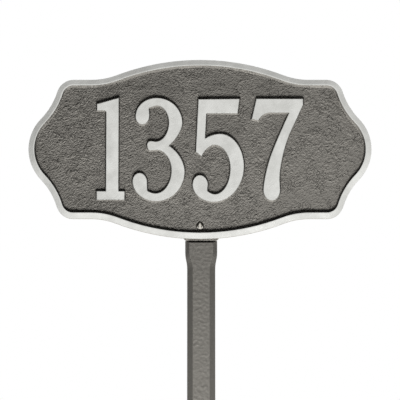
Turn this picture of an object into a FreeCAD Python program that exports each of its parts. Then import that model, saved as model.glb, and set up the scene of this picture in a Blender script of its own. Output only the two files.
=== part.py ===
import FreeCAD, Part

import math
import os

import Sketcher

Vector = FreeCAD.Vector

os.makedirs("parts", exist_ok=True)
doc = FreeCAD.newDocument("house_number_plaque")

# The frame: +Z up, +X to the right, the front faces -Y.
# The origin is on the stake's axis at the ground line.
# Y = 0 is the plane where the plaque's lug meets the stake's tongue.

# Driving sizes, in millimetres and degrees
SIZES = [
    # Outline of the plaque, seen from the front
    ("plaque_width", 400),
    ("plaque_height", 210),
    ("crown_radius", 273),
    ("ogee_radius", 82.5),
    ("shoulder_span", 163),
    ("corner_radius", 20),
    ("corner_spread", 147.7),
    ("scoop_radius", 80.5),
    ("lobe_radius", 51),
    # Section of the plaque: depths are counted forward from its back
    ("edge_depth", 6.5),
    ("rim_depth", 9.5),
    ("field_depth", 5.7),
    ("slope_width", 5.8),
    ("crest_width", 1),
    ("rim_wall_run", 2.4),
    ("back_wall_width", 9),
    ("hollow_depth", 2),
    # Raised numerals
    ("numeral_height", 118.5),
    ("numeral_relief", 3.4),
    ("numeral_draft", 28),
    ("numeral_edge", 0.6),
    ("numeral_root", 0.3),
    ("numeral_gap", 9.2),
    ("numeral_middle", -0.4),
    # Lug at the foot of the plaque. It and the stake lie a little to the right of the plaque's middle
    ("lug_offset", 1.4),
    ("lug_width", 40.8),
    ("lug_height", 34),
    ("lug_drop", 1.8),
    ("lug_depth", 4),
    ("lug_chamfer", 2.2),
    # Stake
    ("plaque_clearance", 250),
    ("spike_depth", 176),
    ("point_length", 70),
    ("point_width", 5),
    ("stake_width", 32.6),
    ("stake_face_width", 20),
    ("head_width", 37.2),
    ("head_face_width", 28),
    ("head_length", 13),
    ("neck_length", 20),
    ("shoulder_gap", 0.3),
    ("shoulder_slope", 2),
    ("stake_edge", 2),
    ("stake_bevel", 6.3),
    ("channel_width", 14),
    ("channel_depth", 3.5),
    ("channel_end", 25),
    ("tongue_width", 36),
    ("tongue_thickness", 4),
    # Fixing
    ("screw_from_edge", 14.6),
    ("screw_diameter", 4.8),
    ("hole_clearance", 0.5),
    ("head_diameter", 8.9),
    ("head_height", 3.2),
    ("head_rim", 0.9),
    ("cross_length", 4.4),
    ("cross_width", 1.1),
    ("cross_depth", 1.6),
    ("screw_past_nut", 2),
    ("washer_diameter", 11),
    ("washer_thickness", 1),
    ("nut_across_flats", 9.5),
    ("nut_thickness", 4),
    ("thread_clearance", 0.1),
]

sheet = doc.addObject("Spreadsheet::Sheet", "sizes")
for row, (name, value) in enumerate(SIZES, start=1):
    sheet.set(f"A{row}", name)
    sheet.set(f"B{row}", str(value))
    sheet.setAlias(f"B{row}", name)
doc.recompute()


def size(formula):
    """The number that a formula on the sheet comes to."""
    return float(sheet.evalExpression(formula))


def tie(target, path, formula):
    """Bind a property to a formula on the sheet, whose cells are written as plain aliases."""
    target.setExpression(path, formula)


# Names that other formulas use, each built from the sheet once
HALF_WIDTH = "sizes.plaque_width / 2"
HALF_HEIGHT = "sizes.plaque_height / 2"
HALF_SHOULDER = "sizes.shoulder_span / 2"
CREST_START = "sizes.slope_width"
CREST_END = "(sizes.slope_width + sizes.crest_width)"
FIELD_START = "(sizes.slope_width + sizes.crest_width + sizes.rim_wall_run)"
PLAQUE_MIDDLE = "sizes.plaque_clearance + sizes.plaque_height / 2"
PLAQUE_ACROSS = "-sizes.lug_offset"
SCREW_DOWN = "(sizes.plaque_height / 2 - sizes.screw_from_edge)"
SCREW_LEVEL = "sizes.plaque_clearance + sizes.screw_from_edge"
HOLE_DIAMETER = "sizes.screw_diameter + sizes.hole_clearance"
STAKE_TOP = "(sizes.plaque_clearance - sizes.lug_drop - sizes.shoulder_gap)"


def plane_of(body, role):
    return [item for item in body.Origin.OriginFeatures if item.Role == role][0]


def new_sketch(body, name, role="XZ_Plane", offset=None):
    """An empty sketch on one of the body's own planes, moved off it by a formula."""
    sketch = body.newObject("Sketcher::SketchObject", name)
    sketch.AttachmentSupport = (plane_of(body, role), [""])
    sketch.MapMode = "FlatFace"
    if offset:
        tie(sketch, "AttachmentOffset.Base.z", offset)
    return sketch


def measure(sketch, kind, *places, to):
    """Add a dimension to a sketch and bind it to a formula."""
    number = sketch.addConstraint(Sketcher.Constraint(kind, *places, size(to)))
    tie(sketch, f"Constraints[{number}]", to)


def join(sketch, kind, *places):
    sketch.addConstraint(Sketcher.Constraint(kind, *places))


# Point numbers of a sketch element, and the numbers of a sketch's own axes
START, END, CENTRE = range(1, 4)
ORIGIN, X_AXIS, Y_AXIS = -1, -1, -2


def line(start, end):
    return Part.LineSegment(Vector(*start, 0), Vector(*end, 0))


def arc(centre, radius, start, end):
    """An arc that runs anticlockwise from start to end, two points at that distance from the centre."""
    circle = Part.Circle(Vector(*centre, 0), Vector(0, 0, 1), radius)
    first, last = [math.atan2(y - centre[1], x - centre[0]) for x, y in (start, end)]
    if last < first:
        last += 2 * math.pi
    return Part.ArcOfCircle(circle, first, last)


def between(centre_a, radius_a, centre_b):
    """The point on circle a that lies towards the middle of circle b, where the two touch."""
    reach = math.dist(centre_a, centre_b)
    return tuple(a + (b - a) * radius_a / reach for a, b in zip(centre_a, centre_b))


def quarter_outline(body, name, inset, depth):
    """A quarter of the plaque's outline, moved inwards by one formula and forward by another."""
    inwards = size(inset)
    half_width = size(HALF_WIDTH) - inwards
    half_height = size(HALF_HEIGHT) - inwards
    shoulder = size(HALF_SHOULDER) - inwards
    crown = size("sizes.crown_radius") - inwards
    ogee = size("sizes.ogee_radius") + inwards
    corner = size("sizes.corner_radius") - inwards
    scoop = size("sizes.scoop_radius") + inwards
    lobe = size("sizes.lobe_radius") - inwards

    # Centres of the arcs, from the crown at the top round to the lobe at the side
    crown_at = (0, half_height - crown)
    rise = shoulder + ogee - crown_at[1]
    ogee_at = (math.sqrt((crown + ogee) ** 2 - rise ** 2), shoulder + ogee)
    corner_at = (size("sizes.corner_spread"), shoulder - corner)
    lobe_at = (half_width - lobe, 0)
    apart = math.dist(corner_at, lobe_at)
    along = ((corner + scoop) ** 2 - (lobe + scoop) ** 2 + apart ** 2) / (2 * apart)
    aside = math.sqrt((corner + scoop) ** 2 - along ** 2)
    across = ((lobe_at[0] - corner_at[0]) / apart, (lobe_at[1] - corner_at[1]) / apart)
    scoop_at = (
        corner_at[0] + along * across[0] - aside * across[1],
        corner_at[1] + along * across[1] + aside * across[0],
    )

    # The six joints between the arcs and the shoulder's straight
    top = (0, half_height)
    crown_foot = between(crown_at, crown, ogee_at)
    ogee_foot = (ogee_at[0], shoulder)
    corner_top = (corner_at[0], shoulder)
    scoop_top = between(corner_at, corner, scoop_at)
    scoop_foot = between(lobe_at, lobe, scoop_at)
    side = (half_width, 0)

    sketch = new_sketch(body, name, offset=depth)
    sketch.addGeometry([
        line((0, 0), top),
        arc(crown_at, crown, crown_foot, top),
        arc(ogee_at, ogee, crown_foot, ogee_foot),
        line(ogee_foot, corner_top),
        arc(corner_at, corner, scoop_top, corner_top),
        arc(scoop_at, scoop, scoop_top, scoop_foot),
        arc(lobe_at, lobe, side, scoop_foot),
        line(side, (0, 0)),
    ], False)
    join(sketch, "Coincident", 0, START, ORIGIN, START)
    join(sketch, "Vertical", 0)
    join(sketch, "Coincident", 0, END, 1, END)
    join(sketch, "PointOnObject", 1, CENTRE, Y_AXIS)
    join(sketch, "Tangent", 1, START, 2, START)
    join(sketch, "Tangent", 2, END, 3, START)
    join(sketch, "Horizontal", 3)
    join(sketch, "Tangent", 3, END, 4, END)
    join(sketch, "Tangent", 4, START, 5, START)
    join(sketch, "Tangent", 5, END, 6, END)
    join(sketch, "PointOnObject", 6, CENTRE, X_AXIS)
    join(sketch, "Coincident", 6, START, 7, START)
    join(sketch, "Coincident", 7, END, ORIGIN, START)
    join(sketch, "Horizontal", 7)
    measure(sketch, "Radius", 1, to=f"sizes.crown_radius - {inset}")
    measure(sketch, "Radius", 2, to=f"sizes.ogee_radius + {inset}")
    measure(sketch, "Radius", 4, to=f"sizes.corner_radius - {inset}")
    measure(sketch, "Radius", 5, to=f"sizes.scoop_radius + {inset}")
    measure(sketch, "Radius", 6, to=f"sizes.lobe_radius - {inset}")
    measure(sketch, "DistanceY", ORIGIN, START, 0, END, to=f"{HALF_HEIGHT} - {inset}")
    measure(sketch, "DistanceX", ORIGIN, START, 7, START, to=f"{HALF_WIDTH} - {inset}")
    measure(sketch, "DistanceY", ORIGIN, START, 3, START, to=f"{HALF_SHOULDER} - {inset}")
    measure(sketch, "DistanceX", ORIGIN, START, 4, CENTRE, to="sizes.corner_spread")
    return sketch


def pad(body, name, sketch, length, backwards=False):
    feature = body.newObject("PartDesign::Pad", name)
    feature.Profile = sketch
    tie(feature, "Length", length)
    feature.Reversed = backwards
    return feature


def pocket(body, name, sketch, depth, forwards=False):
    feature = body.newObject("PartDesign::Pocket", name)
    feature.Profile = sketch
    tie(feature, "Length", depth)
    feature.Reversed = forwards
    return feature


def loft(body, kind, name, first, last):
    feature = body.newObject(f"PartDesign::{kind}Loft", name)
    feature.Profile = first
    feature.Sections = [last]
    feature.Ruled = True
    return feature


def mirror(body, name, role):
    """Repeat the whole of the body so far on the other side of one of its own planes."""
    so_far = body.Tip
    feature = body.newObject("PartDesign::Mirrored", name)
    feature.BaseFeature = so_far
    feature.TransformMode = "Whole shape"
    feature.MirrorPlane = (plane_of(body, role), [""])
    body.Tip = feature
    return feature


def polygon(sketch, points):
    """A closed run of straight lines. Each point is a pair of formulas from the sketch's origin."""
    places = [tuple(size(formula) for formula in point) for point in points]
    sketch.addGeometry([line(a, b) for a, b in zip(places, places[1:] + places[:1])], False)
    for number, point in enumerate(points):
        join(sketch, "Coincident", (number - 1) % len(points), END, number, START)
        for kind, formula in zip(("DistanceX", "DistanceY"), point):
            measure(sketch, kind, ORIGIN, START, number, START, to=formula)


def round_hole(sketch, diameter, across="0", up="0"):
    """A circle whose centre lies across and up from the sketch's origin."""
    middle = Vector(size(across), size(up), 0)
    sketch.addGeometry(Part.Circle(middle, Vector(0, 0, 1), size(diameter) / 2), False)
    number = sketch.GeometryCount - 1
    measure(sketch, "DistanceX", ORIGIN, START, number, CENTRE, to=across)
    measure(sketch, "DistanceY", ORIGIN, START, number, CENTRE, to=up)
    measure(sketch, "Diameter", number, to=diameter)


# The cast plate: one quarter of its rim and field, mirrored twice
plate = doc.addObject("PartDesign::Body", "plate")
back = quarter_outline(plate, "back_outline", "0", "0")
pad(plate, "slab", back, "sizes.edge_depth")
edge = quarter_outline(plate, "edge_outline", "0", "sizes.edge_depth")
crest = quarter_outline(plate, "crest_outline", CREST_START, "sizes.rim_depth")
loft(plate, "Additive", "rim_slope", edge, crest)
crest_inner = quarter_outline(plate, "crest_inner_outline", CREST_END, "sizes.rim_depth")
field = quarter_outline(plate, "field_outline", FIELD_START, "sizes.field_depth")
loft(plate, "Subtractive", "field_recess", crest_inner, field)
hollow_outline = quarter_outline(plate, "hollow_outline", "sizes.back_wall_width", "0")
pocket(plate, "back_hollow", hollow_outline, "sizes.hollow_depth", forwards=True)
mirror(plate, "left_and_right", "YZ_Plane")
mirror(plate, "top_and_bottom", "XY_Plane")

# The lug behind the foot of the plate, which the stake's tongue is screwed to
LUG_TOP = "-(sizes.plaque_height / 2 - sizes.lug_height)"
LUG_FOOT = "-(sizes.plaque_height / 2 + sizes.lug_drop)"
LUG_LEFT = "sizes.lug_offset - sizes.lug_width / 2"
LUG_RIGHT = "sizes.lug_offset + sizes.lug_width / 2"
lug_outline = new_sketch(plate, "lug_outline")
polygon(lug_outline, [
    (LUG_LEFT, LUG_TOP),
    (LUG_RIGHT, LUG_TOP),
    (LUG_RIGHT, f"{LUG_FOOT} + sizes.lug_chamfer"),
    (f"{LUG_RIGHT} - sizes.lug_chamfer", LUG_FOOT),
    (f"{LUG_LEFT} + sizes.lug_chamfer", LUG_FOOT),
    (LUG_LEFT, f"{LUG_FOOT} + sizes.lug_chamfer"),
])
pad(plate, "lug", lug_outline, "sizes.lug_depth")
plate_hole = new_sketch(plate, "screw_hole_outline")
round_hole(plate_hole, HOLE_DIAMETER, up=f"-{SCREW_DOWN}")
pocket(plate, "screw_hole", plate_hole, "sizes.rim_depth", forwards=True)
tie(plate, "Placement.Base.x", PLAQUE_ACROSS)
tie(plate, "Placement.Base.z", PLAQUE_MIDDLE)
doc.recompute()

# The numerals are drawn clockwise in thousandths of their height, from their lower left corner.
# A pair is a straight line to that point. Four numbers are a bend: the corner that the curve
# cuts off, then the point it runs to, so that a quarter of an ellipse is one bend.
NUMERALS = {
    1: [(0, 85), (91, 85), (91, 862), (91, 885, 68, 885), (0, 885), (0, 948), (215, 1010), (215, 85),
        (275, 85), (275, 0), (0, 0)],
    3: [(28, 1009, 236, 1009), (489, 1009, 489, 761), (489, 645, 355, 534), (512, 448, 512, 280),
        (512, -14, 231, -14), (0, -14, 0, 184), (0, 265, 68, 265), (142, 265, 142, 175), (145, 90),
        (180, 63, 226, 63), (382, 63, 382, 292), (382, 494, 231, 494), (172, 486), (143, 486, 143, 544),
        (143, 581, 180, 581), (226, 575), (356, 575, 356, 766), (356, 934, 231, 934), (159, 909),
        (164, 835), (164, 745, 95, 745), (28, 745, 28, 825)],
    5: [(463, 1000), (443, 855), (137, 855), (123, 605), (180, 652, 270, 652), (505, 652, 505, 332),
        (505, -20, 205, -20), (0, -20, 0, 152), (0, 243, 70, 243), (150, 243, 150, 150), (145, 90),
        (175, 55, 218, 55), (371, 55, 371, 312), (371, 544, 213, 544), (140, 544, 87, 430), (32, 475),
        (57, 995)],
    7: [(506, 1000), (506, 940), (384, 677), (272, 437, 272, 200), (277, 100), (277, -7, 195, -7),
        (113, -7, 113, 95), (113, 235, 190, 447), (247, 605, 369, 862), (172, 862), (100, 862, 65, 785),
        (0, 800), (46, 1000)],
}
SAMPLE_NUMBER = [1, 3, 5, 7]
ELLIPSE_WEIGHT = math.sqrt(0.5)


def legs_of(numeral, scale, left, foot):
    """The numeral as a list of legs. Each leg is one point for a line, or a corner and a point."""
    legs = []
    for item in NUMERALS[numeral]:
        pairs = zip(item[0::2], item[1::2])
        legs.append([Vector(left + scale * x, 0, foot + scale * z) for x, z in pairs])
    return legs


def grown(legs, distance):
    """The same legs moved outwards by a distance, each corner at the meeting of its moved sides."""
    points = [point for leg in legs for point in leg]
    moved = []
    for number, point in enumerate(points):
        before = (point - points[number - 1]).normalize()
        after = (points[(number + 1) % len(points)] - point).normalize()
        outwards = Vector(-before.z - after.z, 0, before.x + after.x)
        outwards.multiply(distance / (1 + before.dot(after)))
        moved.append(point + outwards)
    remaining = iter(moved)
    return [[next(remaining) for _ in leg] for leg in legs]


def wire_at(legs, depth):
    """A closed wire along the legs, at a depth in front of the back of the plate."""
    shift = Vector(0, -depth, 0)
    here = legs[-1][-1] + shift
    edges = []
    for leg in legs:
        poles = [here] + [point + shift for point in leg]
        curve = Part.BezierCurve()
        curve.setPoles(poles)
        if len(poles) == 3:
            curve.setWeight(2, ELLIPSE_WEIGHT)
        edges.append(curve.toShape() if len(poles) == 3 else Part.makeLine(*poles))
        here = poles[-1]
    return Part.Wire(edges)


def banded_solid(wires):
    """A solid closed by the first and last wire, with a straight band from each to the next."""
    faces = [Part.Face(wires[0]), Part.Face(wires[-1])]
    for lower, upper in zip(wires, wires[1:]):
        faces += [Part.makeRuledSurface(a, b) for a, b in zip(lower.Edges, upper.Edges)]
    shell = Part.makeShell(faces)
    shell.sewShape()
    solid = Part.makeSolid(shell)
    if solid.Volume < 0:
        solid.reverse()
    return solid


def width_of(numeral):
    return max(x for item in NUMERALS[numeral] for x in item[0::2])


# Four raised numerals in a row, centred on the plate, with drafted walls and a bevelled edge
scale = size("sizes.numeral_height") / 1000
gap = size("sizes.numeral_gap")
row_width = sum(width_of(numeral) for numeral in SAMPLE_NUMBER) * scale + gap * (len(SAMPLE_NUMBER) - 1)
numeral_left = -row_width / 2
numeral_foot = size("sizes.numeral_middle") - size("sizes.numeral_height") / 2
face_depth = size("sizes.field_depth + sizes.numeral_relief")
root_depth = size("sizes.field_depth - sizes.numeral_root")
edge_size = size("sizes.numeral_edge")
draft = math.tan(math.radians(size("sizes.numeral_draft")))
raised = []
for numeral in SAMPLE_NUMBER:
    face = legs_of(numeral, scale, numeral_left, numeral_foot)
    figure = doc.addObject("Part::Feature", f"numeral_{numeral}")
    figure.Shape = banded_solid([
        wire_at(grown(face, (face_depth - edge_size - root_depth) * draft), root_depth),
        wire_at(face, face_depth - edge_size),
        wire_at(grown(face, -edge_size), face_depth),
    ])
    tie(figure, "Placement.Base.x", PLAQUE_ACROSS)
    tie(figure, "Placement.Base.z", PLAQUE_MIDDLE)
    raised.append(figure)
    numeral_left += width_of(numeral) * scale + gap

# The plate and its numerals are one casting
plaque = doc.addObject("Part::MultiFuse", "plaque")
plaque.Shapes = [plate] + raised
plaque.Refine = True

# Depths of the stake's back, its edge and its face, counted forward from the tongue's front
STAKE_BACK = "-sizes.tongue_thickness"
STAKE_EDGE = "(sizes.stake_edge - sizes.tongue_thickness)"
STAKE_FACE = f"{STAKE_EDGE} + sizes.stake_bevel"
NECK_TOP = f"{STAKE_TOP} - sizes.head_length"
NECK_FOOT = f"{NECK_TOP} - sizes.neck_length"
POINT_TOP = "(sizes.point_length - sizes.spike_depth)"


def half_stake_outline(body, name, depth, head, bar, point, top, tip):
    """The right half of the stake, seen from the front, as half widths, its top and its tip."""
    widths = [size(formula) for formula in (head, bar, point)]
    levels = [size(formula) for formula in (top, NECK_TOP, NECK_FOOT, POINT_TOP, tip)]
    narrowing = widths[0] - widths[1]
    fall = levels[1] - levels[2]
    bend = (fall ** 2 + narrowing ** 2) / (4 * narrowing)
    middle = (widths[0] - narrowing / 2, levels[1] - fall / 2)

    sketch = new_sketch(body, name, offset=depth)
    sketch.addGeometry([
        line((0, levels[0]), (widths[0], levels[0])),
        line((widths[0], levels[0]), (widths[0], levels[1])),
        arc((widths[0] - bend, levels[1]), bend, middle, (widths[0], levels[1])),
        arc((widths[1] + bend, levels[2]), bend, middle, (widths[1], levels[2])),
        line((widths[1], levels[2]), (widths[1], levels[3])),
        line((widths[1], levels[3]), (widths[2], levels[4])),
        line((widths[2], levels[4]), (0, levels[4])),
        line((0, levels[4]), (0, levels[0])),
    ], False)
    join(sketch, "PointOnObject", 0, START, Y_AXIS)
    join(sketch, "Horizontal", 0)
    join(sketch, "Coincident", 0, END, 1, START)
    join(sketch, "Vertical", 1)
    join(sketch, "Tangent", 1, END, 2, END)
    join(sketch, "Tangent", 2, START, 3, START)
    join(sketch, "Equal", 2, 3)
    join(sketch, "Tangent", 3, END, 4, START)
    join(sketch, "Vertical", 4)
    join(sketch, "Coincident", 4, END, 5, START)
    join(sketch, "Coincident", 5, END, 6, START)
    join(sketch, "Horizontal", 6)
    join(sketch, "Coincident", 6, END, 7, START)
    join(sketch, "PointOnObject", 7, START, Y_AXIS)
    join(sketch, "Coincident", 7, END, 0, START)
    measure(sketch, "DistanceX", ORIGIN, START, 0, END, to=head)
    measure(sketch, "DistanceX", ORIGIN, START, 4, START, to=bar)
    measure(sketch, "DistanceX", ORIGIN, START, 5, END, to=point)
    measure(sketch, "DistanceY", ORIGIN, START, 0, START, to=top)
    measure(sketch, "DistanceY", ORIGIN, START, 1, END, to=NECK_TOP)
    measure(sketch, "DistanceY", ORIGIN, START, 4, START, to=NECK_FOOT)
    measure(sketch, "DistanceY", ORIGIN, START, 4, END, to=POINT_TOP)
    measure(sketch, "DistanceY", ORIGIN, START, 5, END, to=tip)
    return sketch


def slot(sketch, width, top, foot, round_foot):
    """An upright slot on the sketch's vertical axis, with a round top and a round or flat foot."""
    half, upper, lower = size(width) / 2, size(top), size(foot)
    sketch.addGeometry([
        line((-half, lower), (-half, upper)),
        arc((0, upper), half, (half, upper), (-half, upper)),
        line((half, upper), (half, lower)),
        arc((0, lower), half, (-half, lower), (half, lower)) if round_foot
        else line((half, lower), (-half, lower)),
    ], False)
    join(sketch, "Vertical", 0)
    join(sketch, "Tangent", 0, END, 1, END)
    join(sketch, "PointOnObject", 1, CENTRE, Y_AXIS)
    join(sketch, "Tangent", 1, START, 2, START)
    measure(sketch, "Radius", 1, to=f"{width} / 2")
    measure(sketch, "DistanceY", ORIGIN, START, 1, CENTRE, to=top)
    if round_foot:
        join(sketch, "Tangent", 2, END, 3, END)
        join(sketch, "Tangent", 3, START, 0, START)
        measure(sketch, "DistanceY", ORIGIN, START, 3, CENTRE, to=foot)
    else:
        join(sketch, "Coincident", 2, END, 3, START)
        join(sketch, "Coincident", 3, END, 0, START)
        join(sketch, "Horizontal", 3)
        measure(sketch, "DistanceY", ORIGIN, START, 3, START, to=foot)


# The cast stake: half of its bar with a bevelled face, mirrored, then the channel and the tongue
stake = doc.addObject("PartDesign::Body", "stake")
outer_sizes = {
    "head": "sizes.head_width / 2",
    "bar": "sizes.stake_width / 2",
    "point": "sizes.point_width / 2",
    "top": STAKE_TOP,
    "tip": "-sizes.spike_depth",
}
face_sizes = {
    "head": "sizes.head_face_width / 2",
    "bar": "sizes.stake_face_width / 2",
    "point": "sizes.point_width / 4",
    "top": f"{STAKE_TOP} - sizes.shoulder_slope",
    "tip": "-(sizes.spike_depth - sizes.point_width)",
}
stake_back = half_stake_outline(stake, "back_outline", STAKE_BACK, **outer_sizes)
pad(stake, "edge_strip", stake_back, "sizes.stake_edge")
stake_edge = half_stake_outline(stake, "edge_outline", STAKE_EDGE, **outer_sizes)
stake_face = half_stake_outline(stake, "face_outline", STAKE_FACE, **face_sizes)
loft(stake, "Additive", "bevels", stake_edge, stake_face)
mirror(stake, "other_half", "YZ_Plane")
channel = new_sketch(stake, "channel_outline", offset=STAKE_BACK)
slot(channel, "sizes.channel_width", f"{NECK_FOOT} - sizes.channel_end",
     f"{POINT_TOP} + sizes.channel_end", round_foot=True)
pocket(stake, "back_channel", channel, "sizes.channel_depth", forwards=True)
tongue = new_sketch(stake, "tongue_outline", offset=STAKE_BACK)
slot(tongue, "sizes.tongue_width", SCREW_LEVEL, NECK_TOP, round_foot=False)
pad(stake, "tongue", tongue, "sizes.tongue_thickness")
stake_hole = new_sketch(stake, "screw_hole_outline", offset=STAKE_BACK)
round_hole(stake_hole, HOLE_DIAMETER, across=PLAQUE_ACROSS, up=SCREW_LEVEL)
pocket(stake, "screw_hole", stake_hole, "sizes.tongue_thickness", forwards=True)

# The screw: a domed head with a cross recess, turned about its own axis
screw = doc.addObject("PartDesign::Body", "screw")
HEAD_TOP = "-(sizes.field_depth + sizes.head_height)"
HEAD_SHOULDER = "-(sizes.field_depth + sizes.head_rim)"
WASHER_BACK = "(sizes.tongue_thickness + sizes.washer_thickness)"
SCREW_END = f"({WASHER_BACK} + sizes.nut_thickness + sizes.screw_past_nut)"
profile = new_sketch(screw, "profile", role="YZ_Plane")
radius, shank = size("sizes.head_diameter / 2"), size("sizes.screw_diameter / 2")
head_top, head_side, head_seat, screw_end = [
    size(formula) for formula in (HEAD_TOP, HEAD_SHOULDER, "-sizes.field_depth", SCREW_END)
]
dome = ((head_side - head_top) ** 2 + radius ** 2) / (2 * (head_side - head_top))
profile.addGeometry([
    arc((head_top + dome, 0), dome, (head_side, radius), (head_top, 0)),
    line((head_side, radius), (head_seat, radius)),
    line((head_seat, radius), (head_seat, shank)),
    line((head_seat, shank), (screw_end, shank)),
    line((screw_end, shank), (screw_end, 0)),
    line((screw_end, 0), (head_top, 0)),
], False)
join(profile, "PointOnObject", 0, CENTRE, X_AXIS)
join(profile, "Coincident", 0, START, 1, START)
join(profile, "Horizontal", 1)
join(profile, "Coincident", 1, END, 2, START)
join(profile, "Vertical", 2)
join(profile, "Coincident", 2, END, 3, START)
join(profile, "Horizontal", 3)
join(profile, "Coincident", 3, END, 4, START)
join(profile, "Vertical", 4)
join(profile, "Coincident", 4, END, 5, START)
join(profile, "Horizontal", 5)
join(profile, "Coincident", 5, END, 0, END)
join(profile, "PointOnObject", 5, START, X_AXIS)
measure(profile, "DistanceX", ORIGIN, START, 0, END, to=HEAD_TOP)
measure(profile, "DistanceX", ORIGIN, START, 0, START, to=HEAD_SHOULDER)
measure(profile, "DistanceX", ORIGIN, START, 2, START, to="-sizes.field_depth")
measure(profile, "DistanceX", ORIGIN, START, 4, START, to=SCREW_END)
measure(profile, "DistanceY", ORIGIN, START, 1, START, to="sizes.head_diameter / 2")
measure(profile, "DistanceY", ORIGIN, START, 3, START, to="sizes.screw_diameter / 2")
turned = screw.newObject("PartDesign::Revolution", "turned")
turned.Profile = profile
turned.ReferenceAxis = (profile, ["H_Axis"])
turned.Angle = 360
cross = new_sketch(screw, "cross_outline", offset="sizes.field_depth + sizes.head_height")
LONG, SHORT = "sizes.cross_length / 2", "sizes.cross_width / 2"
polygon(cross, [
    (SHORT, SHORT), (SHORT, LONG), (f"-{SHORT}", LONG), (f"-{SHORT}", SHORT),
    (f"-{LONG}", SHORT), (f"-{LONG}", f"-{SHORT}"), (f"-{SHORT}", f"-{SHORT}"), (f"-{SHORT}", f"-{LONG}"),
    (SHORT, f"-{LONG}"), (SHORT, f"-{SHORT}"), (LONG, f"-{SHORT}"), (LONG, SHORT),
])
pocket(screw, "cross_recess", cross, "sizes.cross_depth")

# The washer and the hexagon nut behind the tongue
washer = doc.addObject("PartDesign::Body", "washer")
ring = new_sketch(washer, "ring_outline", offset=STAKE_BACK)
round_hole(ring, "sizes.washer_diameter")
round_hole(ring, HOLE_DIAMETER)
pad(washer, "ring", ring, "sizes.washer_thickness", backwards=True)
nut = doc.addObject("PartDesign::Body", "nut")
hexagon = new_sketch(nut, "hexagon_outline", offset=f"-{WASHER_BACK}")
POINT, FLAT = "sizes.nut_across_flats / sqrt(3)", "sizes.nut_across_flats / 2"
polygon(hexagon, [
    (POINT, "0"), (f"{POINT} / 2", FLAT), (f"-{POINT} / 2", FLAT),
    (f"-{POINT}", "0"), (f"-{POINT} / 2", f"-{FLAT}"), (f"{POINT} / 2", f"-{FLAT}"),
])
round_hole(hexagon, "sizes.screw_diameter + sizes.thread_clearance")
pad(nut, "hexagon", hexagon, "sizes.nut_thickness", backwards=True)
for fastener in (screw, washer, nut):
    tie(fastener, "Placement.Base.x", PLAQUE_ACROSS)
    tie(fastener, "Placement.Base.z", SCREW_LEVEL)

doc.recompute()

# Nothing is written unless every object came out sound
for item in doc.Objects:
    if "Invalid" in item.State or "Error" in item.State:
        raise RuntimeError(f"{item.Name} failed: {item.getStatusString()}")
pieces = [plaque, stake, screw, washer, nut]
for piece in pieces:
    if piece.Shape.isNull() or not piece.Shape.isValid() or len(piece.Shape.Solids) != 1:
        raise RuntimeError(f"{piece.Label} is not one sound solid")
for piece in pieces:
    piece.Shape.exportStep(f"parts/{piece.Label}.step")
    print(f"{piece.Label}: {piece.Shape.Volume / 1000:.2f} cubic centimetres")
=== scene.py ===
# %% [markdown]
# # A cast house number plaque on its ground stake
#
# The plaque is one sand casting: a shaped oval plate with a raised sloping rim, a sunk field and
# four raised numerals. It is painted pewter grey all over, then the rim and the faces of the numerals
# are rolled with silver. The stake is a second casting in the same grey, held by one screw.
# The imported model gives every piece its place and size. This lesson adds what a casting looks like:
# the wrinkled skin of the sand, soft edges, two paints and bright fixings.

import math

import bmesh
import bpy
from mathutils import Matrix, Vector, noise


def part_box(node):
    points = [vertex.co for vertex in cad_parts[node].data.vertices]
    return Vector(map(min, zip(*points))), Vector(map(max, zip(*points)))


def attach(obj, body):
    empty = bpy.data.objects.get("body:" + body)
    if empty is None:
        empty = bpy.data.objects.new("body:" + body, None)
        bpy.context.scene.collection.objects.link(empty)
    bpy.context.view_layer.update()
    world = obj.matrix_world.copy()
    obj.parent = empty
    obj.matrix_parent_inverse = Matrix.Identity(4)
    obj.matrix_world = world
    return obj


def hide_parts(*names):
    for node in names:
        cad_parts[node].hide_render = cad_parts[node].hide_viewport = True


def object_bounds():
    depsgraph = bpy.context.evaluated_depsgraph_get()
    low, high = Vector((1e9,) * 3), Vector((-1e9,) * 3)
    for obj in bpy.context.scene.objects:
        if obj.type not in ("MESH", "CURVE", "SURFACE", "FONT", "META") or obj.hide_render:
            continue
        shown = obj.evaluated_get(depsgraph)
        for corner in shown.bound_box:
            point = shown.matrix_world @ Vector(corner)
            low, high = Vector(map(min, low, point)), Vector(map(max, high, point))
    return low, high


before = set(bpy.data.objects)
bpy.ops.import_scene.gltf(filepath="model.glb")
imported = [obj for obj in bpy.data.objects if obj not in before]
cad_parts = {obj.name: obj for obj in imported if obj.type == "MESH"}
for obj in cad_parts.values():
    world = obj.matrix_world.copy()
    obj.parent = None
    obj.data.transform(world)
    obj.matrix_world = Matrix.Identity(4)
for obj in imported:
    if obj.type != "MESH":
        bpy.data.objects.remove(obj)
cad_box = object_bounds()
MM = 0.001
print("pieces in the frame:", ", ".join(sorted(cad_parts)))

# %% [markdown]
# ## Small helpers for meshes
#
# Each CAD node arrives as loose triangles, so a copy is merged first. Flat stretches are then dissolved
# into single faces, because a bevel needs real edges and not the seams between triangles.

# %% Copy a CAD node as a clean bmesh
MERGE_DISTANCE = 0.002 * MM
FLAT_ANGLE = math.radians(0.2)


def clean_copy(node):
    """A merged copy of a CAD node, with its flat stretches as single faces."""
    bm = bmesh.new()
    bm.from_mesh(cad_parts[node].data)
    bmesh.ops.remove_doubles(bm, verts=bm.verts[:], dist=MERGE_DISTANCE)
    bmesh.ops.dissolve_degenerate(bm, dist=MERGE_DISTANCE, edges=bm.edges[:])
    bmesh.ops.dissolve_limit(bm, angle_limit=FLAT_ANGLE, verts=bm.verts[:], edges=bm.edges[:])
    bm.normal_update()
    return bm


def open_edges(bm):
    return sum(1 for edge in bm.edges if len(edge.link_faces) != 2)


plaque = clean_copy("plaque")
print("plaque:", len(plaque.verts), "points,", len(plaque.faces), "faces,", open_edges(plaque), "open edges")

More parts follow.
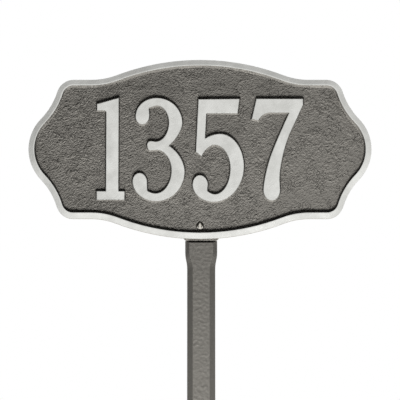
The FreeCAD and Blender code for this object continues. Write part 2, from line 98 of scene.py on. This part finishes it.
# %% Turn a bmesh into a piece of the object
SMOOTH_ANGLE = math.radians(35)


def finish_piece(bm, name, material, replaced):
    """A bmesh becomes an object that stands for a CAD node and takes its finish from a slot.

    Tiny edges are closed up, and faces are split into triangles well here. Left to the export, they
    would be split into slivers wherever three of their points lie on one line.
    """
    bmesh.ops.dissolve_degenerate(bm, dist=MERGE_DISTANCE, edges=bm.edges[:])
    bmesh.ops.triangulate(bm, faces=bm.faces[:], quad_method="BEAUTY", ngon_method="BEAUTY")
    mesh = bpy.data.meshes.new(name)
    bm.to_mesh(mesh)
    bm.free()
    mesh.materials.append(material)
    piece = bpy.data.objects.new(name, mesh)
    bpy.context.scene.collection.objects.link(piece)
    mesh.shade_smooth()
    mesh.set_sharp_from_angle(angle=SMOOTH_ANGLE)
    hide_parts(replaced)
    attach(piece, "root")
    triangles = sum(len(face.vertices) - 2 for face in mesh.polygons)
    print(name, "has", triangles, "triangles")
    return piece


# %% [markdown]
# ## Levels of the casting
#
# Depths are counted forward from the plaque's back, at Y = 0. The field is the largest flat face that
# looks forward, so the frame itself says where it is. The crest of the rim is the foremost point.

# %% Find the field's depth
FRONT = Vector((0, -1, 0))
FLAT_ENOUGH = 0.9999
SAME_LEVEL = 0.02 * MM


def depth_of(face):
    return -face.calc_center_median().y


def faces_forward(bm):
    return [face for face in bm.faces if face.normal.dot(FRONT) > FLAT_ENOUGH]


widest = max(faces_forward(plaque), key=lambda face: face.calc_area())
field_depth = depth_of(widest)
plaque_low, plaque_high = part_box("plaque")
rim_depth = -plaque_low.y
print(f"field {field_depth / MM:.2f} mm and crest {rim_depth / MM:.2f} mm in front of the back")

# %% [markdown]
# ## Soft edges
#
# No edge of a sand casting is sharp. The corners of the numerals and the rim are rounded, and the foot of
# each wall has a small fillet where the sand mould was smoothed. A bevel on every edge that turns by more
# than a limit does both at once, because it rounds hollow corners as well as proud ones.

# %% Round the casting's edges
EDGE_ROUND = 0.35 * MM
EDGE_ANGLE = math.radians(20)


def soften(bm, offset, segments):
    """Rounds each edge of a closed bmesh that turns by more than the edge angle."""
    turning = [edge for edge in bm.edges if edge.is_manifold and edge.calc_face_angle() > EDGE_ANGLE]
    bmesh.ops.bevel(bm, geom=turning, offset=offset, offset_type="OFFSET", segments=segments, profile=0.5,
                    affect="EDGES", clamp_overlap=True, material=-1)
    bm.normal_update()
    return len(turning)


print("edges rounded:", soften(plaque, EDGE_ROUND, 2), "open:", open_edges(plaque))

# %% [markdown]
# ## A grid on the field
#
# The field's skin is real relief, so it needs points to move. A plane cuts the flat faces again and again,
# first across and then upwards. Once a strip is cut off it is finished, and only what is
# still above the last cut is passed on. That keeps some seventy thousand cells quick to make.

# %% Cut a flat region into a grid
STEP_ACROSS = 0.9 * MM
STEP_UP = 0.7 * MM
CUT_TOLERANCE = 0.0001 * MM


def slice_faces(bm, faces, axis, step):
    """Cuts faces by planes across one axis, a step apart, and returns every face that comes of it."""
    across = Vector([1 if number == axis else 0 for number in range(3)])
    reach = [vert.co[axis] for face in faces for vert in face.verts]
    done, ahead = [], faces
    cuts = int((max(reach) - min(reach)) / step)
    for number in range(1, cuts + 1):
        at = min(reach) + number * step
        edges = list({edge for face in ahead for edge in face.edges})
        verts = list({vert for face in ahead for vert in face.verts})
        result = bmesh.ops.bisect_plane(bm, geom=ahead + edges + verts, dist=CUT_TOLERANCE,
                                        plane_co=across * at, plane_no=across)
        pieces = [item for item in result["geom"] if isinstance(item, bmesh.types.BMFace)]
        ahead = [face for face in pieces if max(vert.co[axis] for vert in face.verts) > at + CUT_TOLERANCE]
        beyond = set(ahead)
        done += [face for face in pieces if face not in beyond]
    return done + ahead


def grid_flat(bm, depth):
    """Cuts the forward faces at one depth into a grid, finer upwards than across."""
    flat = [face for face in faces_forward(bm) if abs(depth_of(face) - depth) < SAME_LEVEL]
    columns = slice_faces(bm, flat, 0, STEP_ACROSS)
    return slice_faces(bm, columns, 2, STEP_UP)


field_cells = grid_flat(plaque, field_depth)
print("field cells:", len(field_cells), "open edges:", open_edges(plaque))

# %% [markdown]
# ## The wrinkled skin
#
# The field looks like worn leather: a fine grain everywhere, and here and there a patch of short wrinkles
# two millimetres wide that rise to the right. The wrinkles follow the lines where a Perlin noise is zero,
# because those lines curl and branch as wrinkles do. The noise is drawn out along the lean, and a second
# noise pushes it about by a few millimetres. A slow noise fades the wrinkles in and out. The skin is
# roughest at the left end and calms down towards the right.

# %% The height of the skin at a point of the field
LEAN = math.radians(44)
DRIFT = 3.0 * MM
DRIFT_SIZE = 7.0 * MM
GRAIN_SIZE = 1.9 * MM
GRAIN_STRETCH = 1.5
GRAIN_HEIGHT = 0.55 * MM
WRINKLE_SIZE = 2.4 * MM
WRINKLE_STRETCH = 1.9
WRINKLE_HEIGHT = 0.85 * MM
WRINKLE_SHARPNESS = 2.4
PATCH_SIZE = 14.0 * MM
PATCH_COVER = 0.06
PATCH_CONTRAST = 2.6
QUIET = 0.65
LEFT_ROUGH = 1.15
RIGHT_ROUGH = 0.70


def along_and_aside(place):
    """A place in the front plane after the drift, measured along the lean and across it."""
    drift = noise.noise_vector(place / DRIFT_SIZE)
    x, z = place.x + DRIFT * drift.x, place.y + DRIFT * drift.y
    return x * math.cos(LEAN) + z * math.sin(LEAN), z * math.cos(LEAN) - x * math.sin(LEAN)


def skin_height(co):
    """Grain everywhere, and in patches the crests of wrinkles."""
    place = Vector((co.x, co.z, 0))
    along, aside = along_and_aside(place)
    patch = noise.noise(place / PATCH_SIZE + Vector((0, 0, 9.2))) + 0.5 * noise.noise(place / DRIFT_SIZE)
    patch = min(1.0, max(0.0, PATCH_COVER + PATCH_CONTRAST * patch))
    grain = noise.noise(Vector((along / (GRAIN_SIZE * GRAIN_STRETCH), aside / GRAIN_SIZE, 5.7)))
    line = noise.noise(Vector((along / (WRINKLE_SIZE * WRINKLE_STRETCH), aside / WRINKLE_SIZE, 1.3)))
    crest = max(0.0, 1 - WRINKLE_SHARPNESS * abs(line))
    rightwards = (co.x - plaque_low.x) / (plaque_high.x - plaque_low.x)
    rough = LEFT_ROUGH + (RIGHT_ROUGH - LEFT_ROUGH) * rightwards
    return rough * (GRAIN_HEIGHT * (QUIET + (1 - QUIET) * patch) * grain + WRINKLE_HEIGHT * patch * crest ** 2)


# %% Move the field's inner points
def raise_skin(bm, cells, height_at):
    """Moves the inner points of a grid forward by a height, and leaves its border where it is."""
    cell_set = set(cells)
    inner = [vert for vert in {vert for face in cells for vert in face.verts}
             if all(face in cell_set for face in vert.link_faces)]
    heights = [height_at(vert.co) for vert in inner]
    for vert, height in zip(inner, heights):
        vert.co.y -= height
    bm.normal_update()
    print(f"{len(inner)} points moved, from {min(heights) / MM:.2f} to {max(heights) / MM:.2f} mm")


raise_skin(plaque, field_cells, skin_height)

# %% [markdown]
# ## Two paints on one casting
#
# A roller lays the silver only on what stands proud: the rim's slope and crest and the numerals' faces.
# The walls turn away from the roller and stay grey. Painted shade darkens the grey on walls that look up or
# sideways, and less of it is painted the more a wall looks down. The painted shade is darkest close under
# the edge of the silver and gone at the foot of the wall. Both are kept on the mesh as attributes for
# the material. The field's own wrinkles get neither.

# %% Mark the silver faces and the painted shade on the walls
WALL_TILT = math.cos(math.radians(50))
PROUD = 0.25 * MM
# How fast the painted shade fades on walls that look down
DOWNWARD_FADE = 1.5


def mark_faces(bm, **rules):
    """Keeps on each face a share from 0 to 1 for each rule, in a layer with the rule's name.

    Every rule is answered before the first layer is made. A new layer gives the faces new handles in
    Python, and a set that holds the old handles would match none of them.
    """
    answers = {name: [float(rule(face)) for face in bm.faces] for name, rule in rules.items()}
    for name, values in answers.items():
        layer = bm.faces.layers.float.new(name)
        for face, value in zip(bm.faces, values):
            face[layer] = value
        area = sum(face.calc_area() for face in bm.faces if face[layer] > 0)
        print(f"{name}: {area / MM ** 2:.0f} square mm")


field_set = set(field_cells)


def is_proud(face):
    return face not in field_set and depth_of(face) > field_depth + PROUD


def is_silver(face):
    return is_proud(face) and face.normal.dot(FRONT) > WALL_TILT


def wash_kept(face):
    """Painted shade: all of it on a wall that looks up or sideways, and less of it the more a wall looks down."""
    if not is_proud(face) or is_silver(face):
        return 0.0
    return (1 - max(0.0, -face.normal.z)) ** DOWNWARD_FADE


mark_faces(plaque, silver=is_silver, wash=wash_kept)

# %% [markdown]
# ## Materials
#
# Each material is one Principled shader. A pattern in millimetres reads Object coordinates through a
# Mapping node, so it stays on the piece from every side. The helper keeps the node code short.

# %% A material with a patterned colour, roughness and bump
def new_material(name, roughness, metallic, specular):
    material = bpy.data.materials.new(name)
    material.use_nodes = True
    shader = material.node_tree.nodes["Principled BSDF"]
    shader.inputs["Roughness"].default_value = roughness
    shader.inputs["Metallic"].default_value = metallic
    shader.inputs["Specular IOR Level"].default_value = specular
    return material, shader


def add_node(material, kind, inputs=None, **settings):
    """A node with its settings and its unlinked or linked inputs filled in."""
    node = material.node_tree.nodes.new(kind)
    for key, value in settings.items():
        setattr(node, key, value)
    for key, value in (inputs or {}).items():
        if isinstance(value, bpy.types.NodeSocket):
            material.node_tree.links.new(value, node.inputs[key])
        else:
            node.inputs[key].default_value = value
    return node


def pattern(material, size, detail, stretch=1.0, lean=0.0):
    """Noise of about the given size in metres, drawn out along a lean in the front plane."""
    place = add_node(material, "ShaderNodeTexCoord").outputs["Object"]
    mapped = add_node(material, "ShaderNodeMapping", {
        "Vector": place,
        "Rotation": (0, -lean, 0),
        "Scale": (size * stretch, size, size),
    }, vector_type="TEXTURE")
    cloud = add_node(material, "ShaderNodeTexNoise", {
        "Vector": mapped.outputs["Vector"],
        "Scale": 1.0,
        "Detail": detail,
        "Roughness": 0.55,
    })
    return cloud.outputs["Fac"]


def between(material, low, high, share):
    """A colour that runs from low to high with a share from 0 to 1."""
    mix = add_node(material, "ShaderNodeMix", data_type="RGBA")
    material.node_tree.links.new(share, mix.inputs["Factor"])
    for socket, value in (("A", low), ("B", high)):
        place = [item for item in mix.inputs if item.name == socket and item.type == "RGBA"][0]
        if isinstance(value, bpy.types.NodeSocket):
            material.node_tree.links.new(value, place)
        else:
            place.default_value = (*value, 1)
    return [item for item in mix.outputs if item.type == "RGBA"][0]


def ramp(material, share, low, high):
    """Spreads the part of a pattern from low to high over 0 to 1."""
    spread = add_node(material, "ShaderNodeMapRange", {
        "Value": share, "From Min": low, "From Max": high, "To Min": 0.0, "To Max": 1.0,
    })
    return spread.outputs["Result"]


def mask_times(material, mask, value):
    return add_node(material, "ShaderNodeMath", {0: mask, 1: value}, operation="MULTIPLY").outputs["Value"]


def link(material, source, target):
    material.node_tree.links.new(source, target)


def bump(material, shader, height, distance, strength=1.0):
    """Raises the surface by a pattern, up to a distance in metres."""
    node = add_node(material, "ShaderNodeBump", {"Height": height, "Distance": distance, "Strength": strength})
    link(material, node.outputs["Normal"], shader.inputs["Normal"])


# %% Pewter grey paint
PEWTER_DARK = (0.160, 0.152, 0.137)
PEWTER_LIGHT = (0.205, 0.1955, 0.177)
PAINT_ROUGHNESS = 0.5
PAINT_GLOSS = 0.2


def attribute(material, name):
    return add_node(material, "ShaderNodeAttribute", attribute_name=name).outputs["Fac"]


def darker(colour, share):
    return tuple(share * part for part in colour)


def pewter_paint(material, speckle, wash, strength, washed_strength):
    """Pewter grey that a speckle lightens and darkens, and that is painted darker by a share of painted shade."""
    share = ramp(material, speckle, 0.3, 0.7)
    bare = between(material, darker(PEWTER_DARK, strength), darker(PEWTER_LIGHT, strength), share)
    washed = between(material, darker(PEWTER_DARK, washed_strength), darker(PEWTER_LIGHT, washed_strength), share)
    return between(material, bare, washed, wash)


def places(material):
    """The three Object coordinates of a point, in metres."""
    place = add_node(material, "ShaderNodeTexCoord").outputs["Object"]
    return add_node(material, "ShaderNodeSeparateXYZ", {"Vector": place}).outputs


# %% The plaque's two paints
SILVER_DARK = (0.765, 0.765, 0.733)
SILVER_LIGHT = (0.895, 0.895, 0.862)
SILVER_METALLIC = 0.9
CLOUD_SIZE = 16 * MM
VEIN_SIZE = 2.6 * MM
VEIN_STRETCH = 2.1
VEIN_WIDTH = 0.07
VEIN_SHARE = 0.42
LEFT_GRIT = 1.25
RIGHT_GRIT = 0.30
BACK_ROUGH = 0.35
# Where the painted shade on the walls starts and where it is full, above the field
SHADE_FROM = 0.3 * MM
SHADE_FULL = 1.8 * MM
FINE_SIZE = 1.2 * MM
FINE_STRETCH = 1.6
FINE_HEIGHT = 2.3 * MM
SAND_ON_SILVER = 0.10
# How dark the painted shade makes the grey on the walls
WALL_SHADE_STRENGTH = 0.12


def thin_veins(material):
    """Ridges too thin for the grid, drawn where a noise crosses its middle, and only in some patches."""
    cloud = pattern(material, VEIN_SIZE, 0.0, stretch=VEIN_STRETCH, lean=LEAN)
    off = add_node(material, "ShaderNodeMath", {0: cloud, 1: 0.5}, operation="SUBTRACT").outputs["Value"]
    far = add_node(material, "ShaderNodeMath", {0: off}, operation="ABSOLUTE").outputs["Value"]
    ridge = ramp(material, far, VEIN_WIDTH, 0.0)
    return mask_times(material, ridge, ramp(material, pattern(material, PATCH_SIZE, 1.0), 0.46, 0.60))


two_tone, shader = new_material("two_tone_paint", PAINT_ROUGHNESS, metallic=0.0, specular=PAINT_GLOSS)
fine = pattern(two_tone, FINE_SIZE, 1.0, stretch=FINE_STRETCH, lean=LEAN)
clouds = pattern(two_tone, CLOUD_SIZE, 3.0)
silver_paint = between(two_tone, SILVER_DARK, SILVER_LIGHT, ramp(two_tone, clouds, 0.35, 0.65))
mask = attribute(two_tone, "silver")
# Painted shade: the grey on the marked walls darkens from the foot up to just under the silver
shade_up_the_wall = ramp(two_tone, places(two_tone)["Y"], -field_depth - SHADE_FROM, -field_depth - SHADE_FULL)
wash = mask_times(two_tone, attribute(two_tone, "wash"), shade_up_the_wall)
grey_paint = pewter_paint(two_tone, fine, wash, 1.0, WALL_SHADE_STRENGTH)
link(two_tone, between(two_tone, grey_paint, silver_paint, mask), shader.inputs["Base Color"])
link(two_tone, mask_times(two_tone, mask, SILVER_METALLIC), shader.inputs["Metallic"])


def level(material, share, at_none, at_all):
    """A number that runs from one value to another with a share from 0 to 1."""
    return add_node(material, "ShaderNodeMapRange", {
        "Value": share, "To Min": at_none, "To Max": at_all,
    }).outputs["Result"]


rightwards = ramp(two_tone, places(two_tone)["X"], plaque_low.x, plaque_high.x)
forwards = ramp(two_tone, places(two_tone)["Y"], -0.4 * field_depth, -0.8 * field_depth)
grit = mask_times(two_tone, fine, level(two_tone, rightwards, LEFT_GRIT, RIGHT_GRIT))
veined = add_node(two_tone, "ShaderNodeMath", {
    0: thin_veins(two_tone), 1: VEIN_SHARE, 2: grit,
}, operation="MULTIPLY_ADD").outputs["Value"]
sand = mask_times(two_tone, veined, level(two_tone, mask, 1.0, SAND_ON_SILVER))
sand = mask_times(two_tone, sand, level(two_tone, forwards, BACK_ROUGH, 1.0))
bump(two_tone, shader, sand, FINE_HEIGHT)

# %% Make the plaque
plaque_piece = finish_piece(plaque, "cast_plaque", two_tone, "plaque")
weighted = plaque_piece.modifiers.new("large_faces_keep_flat", "WEIGHTED_NORMAL")
weighted.keep_sharp = True

# %% [markdown]
# ## The stake
#
# The stake is cast in the same metal, but its face is calmer: low pebbles some three millimetres wide run
# into each other. Its bevels, and every other face but the front, are painted darker as painted shade. The
# piece is the frame's own shape with rounded edges, and only its front face gets a grid and relief.

# %% Pebbles on the stake's face
STAKE_ROUND = 0.5 * MM
PEBBLE_SIZE = 3.2 * MM
PEBBLE_HEIGHT = 0.34 * MM
WORM_SHARE = 0.6

stake = clean_copy("stake")
soften(stake, STAKE_ROUND, 2)
stake_face = max(faces_forward(stake), key=lambda face: face.calc_area())
stake_cells = grid_flat(stake, depth_of(stake_face))


def pebble_height(co):
    """Low rounded pebbles, with soft worm-like furrows where one noise crosses nought."""
    place = Vector((co.x, co.z, 3.7))
    pebble = noise.noise(place / PEBBLE_SIZE)
    furrow = abs(noise.noise(place / (1.3 * PEBBLE_SIZE) + Vector((4.1, 8.3, 0))))
    return PEBBLE_HEIGHT * (pebble + WORM_SHARE * furrow)


raise_skin(stake, stake_cells, pebble_height)
stake_set = set(stake_cells)
# Every face but the pebbled front is marked for painted shade, so the bevels are painted darker where they turn
# from the light
mark_faces(stake, wash=lambda face: face not in stake_set)
print("stake cells:", len(stake_cells), "open edges:", open_edges(stake))

# %% Paint and make the stake
STAKE_STRENGTH = 0.655
# The grey of the bevels and sides, painted darker as shade
STAKE_SHADED_STRENGTH = 0.475
STAKE_GRAIN = 1.4 * MM
STAKE_GRAIN_HEIGHT = 0.25 * MM

painted, shader = new_material("stake_paint", PAINT_ROUGHNESS, metallic=0.0, specular=PAINT_GLOSS)
speckle = pattern(painted, STAKE_GRAIN, 2.0)
stake_wash = attribute(painted, "wash")
stake_colour = pewter_paint(painted, speckle, stake_wash, STAKE_STRENGTH, STAKE_SHADED_STRENGTH)
link(painted, stake_colour, shader.inputs["Base Color"])
bump(painted, shader, speckle, STAKE_GRAIN_HEIGHT)
stake_piece = finish_piece(stake, "cast_stake", painted, "stake")
stake_weighted = stake_piece.modifiers.new("large_faces_keep_flat", "WEIGHTED_NORMAL")
stake_weighted.keep_sharp = True

# %% [markdown]
# ## The screw
#
# The screw is a cold-headed pan head with a cross recess and a rolled thread. The frame gives its head and
# a plain shank. The shank is drawn in to the thread's root, and a triangle spun along a helix makes the
# ridge of the thread, which shows where the screw ends behind the nut.

# %% Shape the screw
SCREW_ROUND = 0.18 * MM
THREAD_PITCH = 0.8 * MM
THREAD_DEPTH = 0.42 * MM
THREAD_STEPS = 24
BURIED = 0.05 * MM
END_LAND = 0.15 * MM

screw_low, screw_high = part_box("screw")
screw_axis = Vector(((screw_low.x + screw_high.x) / 2, 0, (screw_low.z + screw_high.z) / 2))
washer_low, washer_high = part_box("washer")


def off_axis(co):
    """Distance from the screw's axis."""
    return math.hypot(co.x - screw_axis.x, co.z - screw_axis.z)


screw = clean_copy("screw")
shank = [vert for vert in screw.verts if vert.co.y > 0]
shank_radius = max(off_axis(vert.co) for vert in shank)
root_share = 1 - THREAD_DEPTH / shank_radius
bmesh.ops.scale(screw, vec=(root_share, 1, root_share), verts=shank, space=Matrix.Translation(-screw_axis))
soften(screw, SCREW_ROUND, 2)

# %% Mark the recess, whose side arms get painted shade
RECESS_REACH = 2.6 * MM
RECESS_BELOW = 0.3 * MM

head_depth = -screw_low.y


def in_recess(face):
    """Near the axis and below the top of the head, but in front of the shank."""
    middle = face.calc_center_median()
    return middle.y < 0 and off_axis(middle) < RECESS_REACH and depth_of(face) < head_depth - RECESS_BELOW


mark_faces(screw, recess=in_recess)

# %% Spin the thread
thread_length = screw_high.y - END_LAND - washer_low.y - THREAD_PITCH
root = shank_radius - THREAD_DEPTH - BURIED
corners = [
    (root, washer_low.y),
    (shank_radius, washer_low.y + 0.5 * THREAD_PITCH),
    (root, washer_low.y + 0.9 * THREAD_PITCH),
]
thread = bmesh.new()
ring = [thread.verts.new((screw_axis.x + out, along, screw_axis.z)) for out, along in corners]
tooth = thread.faces.new(ring)
turns = thread_length / THREAD_PITCH
bmesh.ops.spin(thread, geom=[tooth, *tooth.edges, *tooth.verts], cent=screw_axis, axis=(0, 1, 0),
               dvec=(0, THREAD_PITCH / THREAD_STEPS, 0), angle=2 * math.pi * turns,
               steps=int(turns * THREAD_STEPS), use_merge=False, use_duplicate=False)
bmesh.ops.recalc_face_normals(thread, faces=thread.faces[:])
thread_mesh = bpy.data.meshes.new("thread")
thread.to_mesh(thread_mesh)
print(f"thread: {turns:.1f} turns, {len(thread.faces)} faces, {open_edges(thread)} open edges")
thread.free()
screw.from_mesh(thread_mesh)
bpy.data.meshes.remove(thread_mesh)

# %% [markdown]
# ## Plated metal
#
# Nickel is warm and bright. The two upper shoulders of the head and its very edge are painted dark as a
# painted reflection, and the side arms of the recess get painted shade, so a bright drop is left. Places
# are counted from the screw's axis, so the pattern stays with the screw from every side. Zinc is cooler
# and duller, with a faint mottle.

# %% Nickel and zinc
NICKEL_BRIGHT = (0.97, 0.93, 0.84)
# The dark of the painted reflection on the head and of the painted shade in the recess
NICKEL_SHADE_AND_REFLECTION = (0.040, 0.036, 0.028)
DROP_SLOPE = 0.65
SHOULDER_FROM = 2.4 * MM
SHOULDER_TO = 3.2 * MM
EDGE_FROM = 4.1 * MM
EDGE_TO = 4.5 * MM
ARM_FROM = 0.4 * MM
ARM_TO = 1.0 * MM
ZINC_DARK = (0.42, 0.43, 0.44)
ZINC_LIGHT = (0.60, 0.61, 0.61)

nickel, shader = new_material("bright_nickel", 0.22, metallic=1.0, specular=0.5)


def vector_step(operation, inputs, output="Vector"):
    """One step of vector arithmetic in the nickel material."""
    return add_node(nickel, "ShaderNodeVectorMath", inputs, operation=operation).outputs[output]


def number_step(operation, inputs):
    """One step of arithmetic in the nickel material."""
    return add_node(nickel, "ShaderNodeMath", inputs, operation=operation).outputs["Value"]


spot = add_node(nickel, "ShaderNodeTexCoord").outputs["Object"]
from_axis = vector_step("SUBTRACT", {0: spot, 1: screw_axis})
aside_of_axis = vector_step("MULTIPLY", {0: from_axis, 1: (1, 0, 1)})
reach = vector_step("LENGTH", {0: aside_of_axis}, "Value")
parts = add_node(nickel, "ShaderNodeSeparateXYZ", {"Vector": from_axis}).outputs
sideways = number_step("ABSOLUTE", {0: parts["X"]})
drop = number_step("MULTIPLY_ADD", {0: parts["Z"], 1: DROP_SLOPE, 2: sideways})
# Painted reflection: the upper shoulders and the edge of the dome are painted dark, as a dome mirrors a dark
# studio. Painted shade: the side arms of the recess are painted dark.
shoulder = ramp(nickel, drop, SHOULDER_FROM, SHOULDER_TO)
edge = ramp(nickel, reach, EDGE_FROM, EDGE_TO)
arm = number_step("MULTIPLY", {0: attribute(nickel, "recess"), 1: ramp(nickel, sideways, ARM_FROM, ARM_TO)})
dark_reflection_and_shade = number_step("MAXIMUM", {0: number_step("MAXIMUM", {0: shoulder, 1: edge}), 1: arm})
scuffs = pattern(nickel, 0.8 * MM, 2.0)
polished = between(nickel, darker(NICKEL_BRIGHT, 0.86), NICKEL_BRIGHT, ramp(nickel, scuffs, 0.35, 0.65))
link(nickel, between(nickel, polished, NICKEL_SHADE_AND_REFLECTION, dark_reflection_and_shade), shader.inputs["Base Color"])
bump(nickel, shader, scuffs, 0.01 * MM)
finish_piece(screw, "pan_screw", nickel, "screw")

zinc, shader = new_material("zinc_plate", 0.38, metallic=1.0, specular=0.5)
mottle = pattern(zinc, 1.6 * MM, 3.0)
link(zinc, between(zinc, ZINC_DARK, ZINC_LIGHT, ramp(zinc, mottle, 0.35, 0.65)), shader.inputs["Base Color"])
bump(zinc, shader, mottle, 0.03 * MM)

# %% [markdown]
# ## The washer and the nut
#
# The washer is stamped, so its edges are slightly rounded. A hexagon nut is turned first and its flats are
# milled afterwards, and that is how it is made here: a chamfered profile is spun round the axis, and then
# six planes cut the flats, which leaves the curved chamfer marks at the corners.

# %% Make the washer
WASHER_ROUND = 0.12 * MM
washer = clean_copy("washer")
soften(washer, WASHER_ROUND, 2)
finish_piece(washer, "flat_washer", zinc, "washer")

# %% Turn and mill the nut
NUT_STEPS = 48
FLATS = 6
CHAMFER_RISE = 0.45 * MM
CHAMFER_RUN = 0.85 * MM
CORNER_LAND = 0.06 * MM

plain_nut = clean_copy("nut")
bore = min(off_axis(vert.co) for vert in plain_nut.verts)
corner = max(off_axis(vert.co) for vert in plain_nut.verts) - CORNER_LAND
plain_nut.free()
nut_low, nut_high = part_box("nut")
half_flats = (nut_high.z - nut_low.z) / 2
profile = [
    (bore, nut_low.y), (corner - CHAMFER_RUN, nut_low.y), (corner, nut_low.y + CHAMFER_RISE),
    (corner, nut_high.y - CHAMFER_RISE), (corner - CHAMFER_RUN, nut_high.y), (bore, nut_high.y),
]
nut = bmesh.new()
outline = [nut.verts.new((screw_axis.x + out, along, screw_axis.z)) for out, along in profile]
edges = [nut.edges.new((outline[number - 1], outline[number])) for number in range(len(outline))]
bmesh.ops.spin(nut, geom=outline + edges, cent=screw_axis, axis=(0, 1, 0), angle=2 * math.pi,
               steps=NUT_STEPS, use_merge=True, use_duplicate=False)
for number in range(FLATS):
    angle = (number + 0.5) * 2 * math.pi / FLATS
    outwards = Vector((math.cos(angle), 0, math.sin(angle)))
    cut = bmesh.ops.bisect_plane(nut, geom=nut.verts[:] + nut.edges[:] + nut.faces[:], dist=MERGE_DISTANCE,
                                 plane_co=screw_axis + half_flats * outwards, plane_no=outwards, clear_outer=True)
    rim = [item for item in cut["geom_cut"] if isinstance(item, bmesh.types.BMEdge)]
    bmesh.ops.contextual_create(nut, geom=rim)
bmesh.ops.recalc_face_normals(nut, faces=nut.faces[:])
print("nut:", len(nut.faces), "faces,", open_edges(nut), "open edges")
finish_piece(nut, "hexagon_nut", zinc, "nut")

# %% [markdown]
# ## The floor, the light and the camera
#
# The casting is lit from low in front, with a faint fill from the right. That leaves every wall that
# faces up black, which draws the numerals. The world is white to the camera and almost dark to the grey
# paint. In the silver's gloss it is a soft slope of grey, darker above and to the left.

# %% The floor
FLOOR_GLOW = 0.45
floor_mesh = bpy.data.meshes.new("floor")
floor_bm = bmesh.new()
bmesh.ops.create_grid(floor_bm, x_segments=1, y_segments=1, size=4.0)
floor_bm.to_mesh(floor_mesh)
floor_bm.free()
floor_mesh.transform(Matrix.Translation((0, 0, cad_box[0][2])))
floor = bpy.data.objects.new("floor", floor_mesh)
bpy.context.scene.collection.objects.link(floor)
floor_paint, shader = new_material("pale_floor", roughness=0.7, metallic=0.0, specular=0.3)
shader.inputs["Base Color"].default_value = (0.8, 0.8, 0.8, 1)
shader.inputs["Emission Color"].default_value = (1, 1, 1, 1)
shader.inputs["Emission Strength"].default_value = FLOOR_GLOW
floor.visible_shadow = False
floor.visible_glossy = False
floor.visible_diffuse = False
floor_mesh.materials.append(floor_paint)

# %% The camera
LENS = 200.0
SENSOR = 36.0
FRAME_WIDTH = 464.9 * MM
CAMERA_DROP = math.radians(5.5)
PLAQUE_CENTRE = (plaque_low + plaque_high) / 2
LOOK_DOWN = 59.1 * MM

camera_data = bpy.data.cameras.new("camera")
camera_data.lens = LENS
camera_data.sensor_width = SENSOR
camera = bpy.data.objects.new("camera", camera_data)
bpy.context.scene.collection.objects.link(camera)
target = Vector((PLAQUE_CENTRE.x, plaque_low.y, PLAQUE_CENTRE.z - LOOK_DOWN))
away = FRAME_WIDTH * LENS / SENSOR
camera.location = target + away * Vector((0, -math.cos(CAMERA_DROP), -math.sin(CAMERA_DROP)))
camera.rotation_euler = (target - camera.location).to_track_quat("-Z", "Y").to_euler()
bpy.context.scene.camera = camera

# %% The lights
LIGHT_REACH = 1.3
LIGHT_WIDTH = 0.28
LIGHT_HEIGHT = 0.36

# Each row is a light's name, its angle to the right of the front, its angle above the ground, and its watts
LIGHTS = [
    ("front_low", 3, -55, 27.0),
    ("below", 0, -88, 30.0),
    ("right_fill", 40, -45, 1.6),
    ("back_right", 125, 20, 5.0),
    ("back_left", -125, 20, 5.0),
    ("back_middle", 180, 5, 6.0),
]


def way_to(azimuth, elevation):
    """The direction at an angle to the right of the front and an angle above the ground."""
    turn, rise = math.radians(azimuth), math.radians(elevation)
    return Vector((math.cos(rise) * math.sin(turn), -math.cos(rise) * math.cos(turn), math.sin(rise)))


def soft_light(name, azimuth, elevation, watts):
    """A soft light that faces the plaque from a direction, and that mirrors don't show."""
    data = bpy.data.lights.new(name, "AREA")
    data.shape = "RECTANGLE"
    data.size = LIGHT_WIDTH
    data.size_y = LIGHT_HEIGHT
    data.energy = watts
    light = bpy.data.objects.new(name, data)
    bpy.context.scene.collection.objects.link(light)
    away_from_plaque = way_to(azimuth, elevation)
    light.location = PLAQUE_CENTRE + LIGHT_REACH * away_from_plaque
    light.rotation_euler = (-away_from_plaque).to_track_quat("-Z", "Y").to_euler()
    light.visible_camera = False
    light.visible_glossy = False


for row in LIGHTS:
    soft_light(*row)
print(len(LIGHTS), "lights")

# %% The world
AMBIENT = 0.01
GLOSS_WAY = (0.143, -0.285, -0.118)
GLOSS_BASE = 0.537

world = bpy.data.worlds.new("studio")
world.use_nodes = True
world.cycles.sampling_method = "NONE"
bpy.context.scene.world = world
tree = world.node_tree
tree.nodes.clear()


def world_node(kind, inputs, **settings):
    node = tree.nodes.new(kind)
    for key, value in settings.items():
        setattr(node, key, value)
    for key, value in inputs.items():
        if isinstance(value, bpy.types.NodeSocket):
            tree.links.new(value, node.inputs[key])
        else:
            node.inputs[key].default_value = value
    return node


path = world_node("ShaderNodeLightPath", {})
way = world_node("ShaderNodeTexCoord", {}).outputs["Generated"]
slope = world_node("ShaderNodeVectorMath", {0: way, 1: GLOSS_WAY}, operation="DOT_PRODUCT").outputs["Value"]
shine = world_node("ShaderNodeMath", {0: slope, 1: GLOSS_BASE}, operation="ADD").outputs["Value"]
part = world_node("ShaderNodeMix", {0: path.outputs["Is Glossy Ray"], 2: AMBIENT, 3: shine}).outputs[0]
whole = world_node("ShaderNodeMix", {0: path.outputs["Is Camera Ray"], 2: part, 3: 1.0}).outputs[0]
sky = world_node("ShaderNodeBackground", {"Color": (1, 1, 1, 1), "Strength": whole})
world_node("ShaderNodeOutputWorld", {"Surface": sky.outputs["Background"]})
bpy.context.scene.view_settings.view_transform = "Standard"
